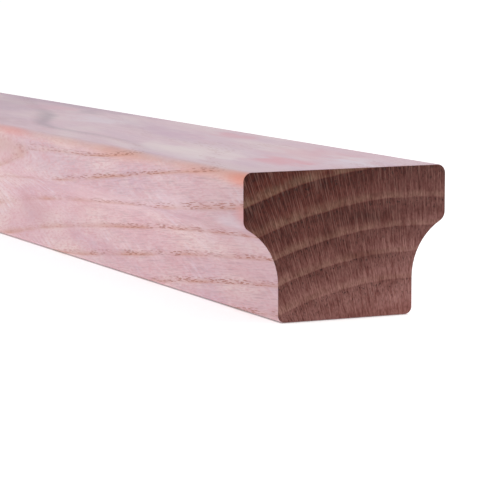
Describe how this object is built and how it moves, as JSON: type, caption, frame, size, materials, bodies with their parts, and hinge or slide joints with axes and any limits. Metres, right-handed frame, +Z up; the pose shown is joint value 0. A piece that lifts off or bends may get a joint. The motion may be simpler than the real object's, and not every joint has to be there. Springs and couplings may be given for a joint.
{
  "type": "wooden handrail",
  "caption": "Straight moulded hardwood handrail with a flat top, eased edges, a finger cove along each side and a flat narrower base.",
  "frame": {"origin": "middle of the underside, halfway along the rail and halfway across it", "axes": "+X along the rail towards the end that the picture shows, +Y across it to the left when looking along +X, +Z up from the underside to the grip's top"},
  "size_m": [1.2, 0.06, 0.04],
  "materials": {
    "wood": "planed and unfinished, open-grained ring-porous hardwood with saw-cut ends"
  },
  "bodies": {
    "root": {"handrail": "wood"}
  },
  "joints": []
}
